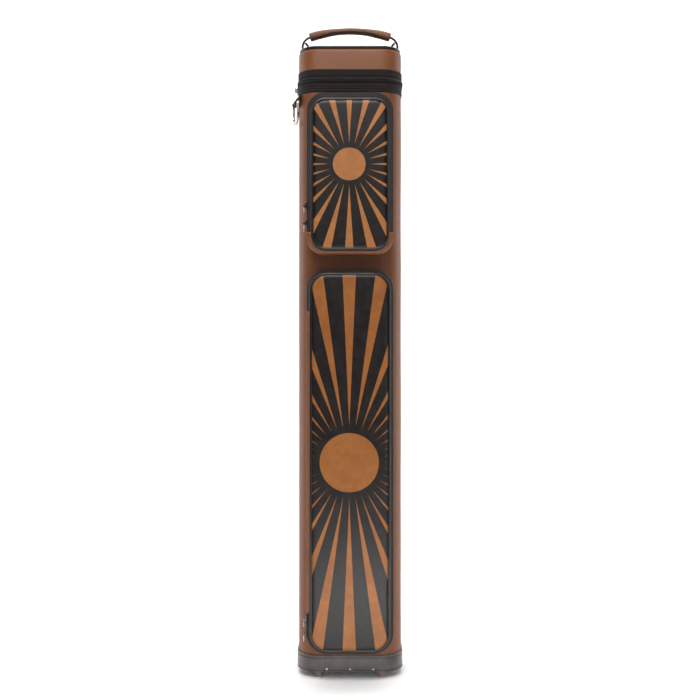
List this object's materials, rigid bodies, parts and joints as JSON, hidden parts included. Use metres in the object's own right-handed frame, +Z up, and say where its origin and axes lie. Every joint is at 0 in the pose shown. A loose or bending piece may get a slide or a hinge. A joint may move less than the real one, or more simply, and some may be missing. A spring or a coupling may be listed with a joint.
{
  "type": "cue case",
  "caption": "Hard oval leatherette case for cue butts and shafts, with a zipped hinged lid, zipped front pockets, an arched handle and strap rings.",
  "frame": {"origin": "on the floor, under the middle of the oval body", "axes": "+Z up along the tubes, -Y towards the pockets, +X to the right seen from the front"},
  "size_m": [0.1559, 0.1411, 0.9102],
  "materials": {
    "leatherette": "satin, fine grain",
    "printed_leatherette": "satin with black print",
    "dark_leather": "waxed",
    "black_leatherette": "satin, coarse grain",
    "piping": "gloss",
    "black_webbing": "woven",
    "black_cord": "braided",
    "zip_tape": "woven tape with coil chain",
    "lining_fabric": "brushed",
    "moulded_core": "matte",
    "tube_plastic": "matte",
    "foam_pad": "matte foam",
    "core_board": "fibreboard",
    "foot_rubber": "matte",
    "dark_steel": "black zinc",
    "nickel": "nickel plate",
    "gunmetal": "dark nickel plate"
  },
  "bodies": {
    "case": {"body_shell": "moulded_core", "body_cover": "leatherette", "base_board": "core_board", "base_boot": "black_leatherette", "boot_nails": "nickel", "rubber_feet": "foot_rubber", "foot_screws": "dark_steel", "mouth_plate": "lining_fabric", "butt_tube_left": "tube_plastic", "butt_tube_centre": "tube_plastic", "butt_tube_right": "tube_plastic", "shaft_tube_1": "tube_plastic", "shaft_tube_2": "tube_plastic", "shaft_tube_3": "tube_plastic", "shaft_tube_4": "tube_plastic", "shaft_tube_5": "tube_plastic", "tube_end_pad": "foam_pad", "upper_ring_tab": "black_webbing", "lower_ring_tab": "black_webbing", "lid_zip_case_side": "zip_tape", "lid_hinge_case_leaf": "leatherette", "small_pocket_gusset": "leatherette", "small_pocket_lining": "lining_fabric", "small_zip_case_side": "zip_tape", "large_pocket_gusset": "leatherette", "large_pocket_lining": "lining_fabric", "large_zip_case_side": "zip_tape"},
    "lid": {"lid_shell": "moulded_core", "lid_cover": "leatherette", "lid_top_panel": "black_leatherette", "lid_piping": "piping", "lid_pad": "foam_pad", "lid_zip_lid_side": "zip_tape", "lid_hinge_lid_leaf": "leatherette", "handle_tabs": "black_webbing"},
    "handle": {"handle_grip": "dark_leather", "handle_cord": "black_cord"},
    "upper_ring": {"upper_strap_ring": "nickel"},
    "lower_ring": {"lower_strap_ring": "nickel"},
    "small_flap": {"small_flap_board": "lining_fabric", "small_flap_face": "printed_leatherette", "small_flap_piping": "piping", "small_zip_flap_side": "zip_tape"},
    "large_flap": {"large_flap_board": "lining_fabric", "large_flap_face": "printed_leatherette", "large_flap_piping": "piping", "large_zip_flap_side": "zip_tape"},
    "lid_zip_front_slider": {"lid_zip_front_slider": "gunmetal"},
    "lid_zip_front_pull": {"lid_zip_front_pull": "gunmetal"},
    "lid_zip_rear_slider": {"lid_zip_rear_slider": "gunmetal"},
    "lid_zip_rear_pull": {"lid_zip_rear_pull": "gunmetal"},
    "small_zip_upper_slider": {"small_zip_upper_slider": "gunmetal"},
    "small_zip_upper_pull": {"small_zip_upper_pull": "gunmetal"},
    "small_zip_lower_slider": {"small_zip_lower_slider": "gunmetal"},
    "small_zip_lower_pull": {"small_zip_lower_pull": "gunmetal"},
    "large_zip_upper_slider": {"large_zip_upper_slider": "gunmetal"},
    "large_zip_upper_pull": {"large_zip_upper_pull": "gunmetal"},
    "large_zip_lower_slider": {"large_zip_lower_slider": "gunmetal"},
    "large_zip_lower_pull": {"large_zip_lower_pull": "gunmetal"}
  },
  "joints": [
    {"name": "lid_hinge", "type": "hinge", "parent": "case", "child": "lid", "pos_m": [0, 0.0505, 0.824], "axis": [-1, 0, 0], "range_deg": [0, 110]},
    {"name": "handle_swing", "type": "hinge", "parent": "lid", "child": "handle", "pos_m": [0, 0, 0.8775], "axis": [1, 0, 0], "range_deg": [-70, 70]},
    {"name": "upper_ring_swing", "type": "hinge", "parent": "case", "child": "upper_ring", "pos_m": [-0.07569, -0.02716, 0.7955], "axis": [-0.2588, 0.9659, 0], "range_deg": [0, 110]},
    {"name": "lower_ring_swing", "type": "hinge", "parent": "case", "child": "lower_ring", "pos_m": [0, 0.0534, 0.082], "axis": [1, 0, 0], "range_deg": [0, 110]},
    {"name": "small_flap_hinge", "type": "hinge", "parent": "case", "child": "small_flap", "pos_m": [0, -0.08, 0.5835], "axis": [1, 0, 0], "range_deg": [0, 90]},
    {"name": "large_flap_hinge", "type": "hinge", "parent": "case", "child": "large_flap", "pos_m": [-0.0594, -0.074, 0.3], "axis": [0, 0, -1], "range_deg": [0, 110]},
    {"name": "lid_zip_front_slide", "type": "slide", "parent": "case", "child": "lid_zip_front_slider", "axis": [0, -1, 0], "range_m": [0, 0.034]},
    {"name": "lid_zip_front_pull_swing", "type": "hinge", "parent": "lid_zip_front_slider", "child": "lid_zip_front_pull", "pos_m": [-0.0777, 0.0163, 0.824], "axis": [0, 0, -1], "range_deg": [0, 150]},
    {"name": "lid_zip_rear_travel", "type": "hinge", "parent": "case", "child": "lid_zip_rear_slider", "pos_m": [-0.0415, 0.018, 0.824], "axis": [0, 0, -1], "range_deg": [0, 12]},
    {"name": "lid_zip_rear_pull_swing", "type": "hinge", "parent": "lid_zip_rear_slider", "child": "lid_zip_rear_pull", "pos_m": [-0.07556, 0.03033, 0.824], "axis": [0, 0, 1], "range_deg": [0, 150]},
    {"name": "small_zip_upper_slide", "type": "slide", "parent": "case", "child": "small_zip_upper_slider", "axis": [0, 0, 1], "range_m": [0, 0.12]},
    {"name": "small_zip_upper_pull_swing", "type": "hinge", "parent": "small_zip_upper_slider", "child": "small_zip_upper_pull", "pos_m": [-0.0625, -0.071, 0.6468], "axis": [0, 1, 0], "range_deg": [0, 150]},
    {"name": "small_zip_lower_slide", "type": "slide", "parent": "case", "child": "small_zip_lower_slider", "axis": [0, 0, -1], "range_m": [0, 0.008]},
    {"name": "small_zip_lower_pull_swing", "type": "hinge", "parent": "small_zip_lower_slider", "child": "small_zip_lower_pull", "pos_m": [-0.0625, -0.071, 0.6233], "axis": [0, 1, 0], "range_deg": [0, 150]},
    {"name": "large_zip_upper_slide", "type": "slide", "parent": "case", "child": "large_zip_upper_slider", "axis": [0, 0, 1], "range_m": [0, 0.004]},
    {"name": "large_zip_upper_pull_swing", "type": "hinge", "parent": "large_zip_upper_slider", "child": "large_zip_upper_pull", "pos_m": [-0.063, -0.065, 0.0848], "axis": [0, 1, 0], "range_deg": [0, 150]},
    {"name": "large_zip_lower_travel", "type": "hinge", "parent": "case", "child": "large_zip_lower_slider", "pos_m": [-0.0315, -0.065, 0.066], "axis": [0, -1, 0], "range_deg": [0, 90]},
    {"name": "large_zip_lower_pull_swing", "type": "hinge", "parent": "large_zip_lower_slider", "child": "large_zip_lower_pull", "pos_m": [-0.063, -0.065, 0.0648], "axis": [0, 1, 0], "range_deg": [0, 150]}
  ]
}
